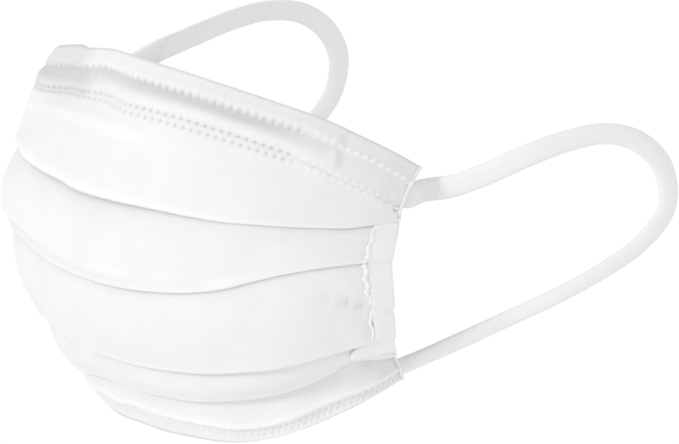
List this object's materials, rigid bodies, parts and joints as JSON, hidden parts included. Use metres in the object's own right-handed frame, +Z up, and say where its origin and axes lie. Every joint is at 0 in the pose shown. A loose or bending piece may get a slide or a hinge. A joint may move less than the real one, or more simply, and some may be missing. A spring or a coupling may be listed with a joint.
{
  "type": "surgical face mask",
  "caption": "Pleated disposable face mask in its worn shape, with a nose band over a wire, bound side edges and soft elastic ear loops.",
  "frame": {"origin": "where the mask sits on the bridge of the nose: the inner face of the top hem on the centre line, halfway down the nose wire", "axes": "+Z up as worn, -Y the way the wearer looks, +X towards the wearer's left ear"},
  "size_m": [0.1348, 0.1244, 0.088],
  "materials": {
    "cloth": "warm white spun-bonded non-woven cloth, matte",
    "binding": "slightly bluish white non-woven tape, matte",
    "band": "soft knitted elastic, neutral white, matte",
    "wire": "white plastic-coated flat wire, hidden in the nose band"
  },
  "bodies": {
    "root": {"mask_body": "cloth", "top_hem": "cloth", "bottom_hem": "cloth", "nose_wire": "wire", "side_binding_left": "binding", "side_binding_right": "binding", "ear_loop_left": "band", "ear_loop_right": "band"}
  },
  "joints": []
}
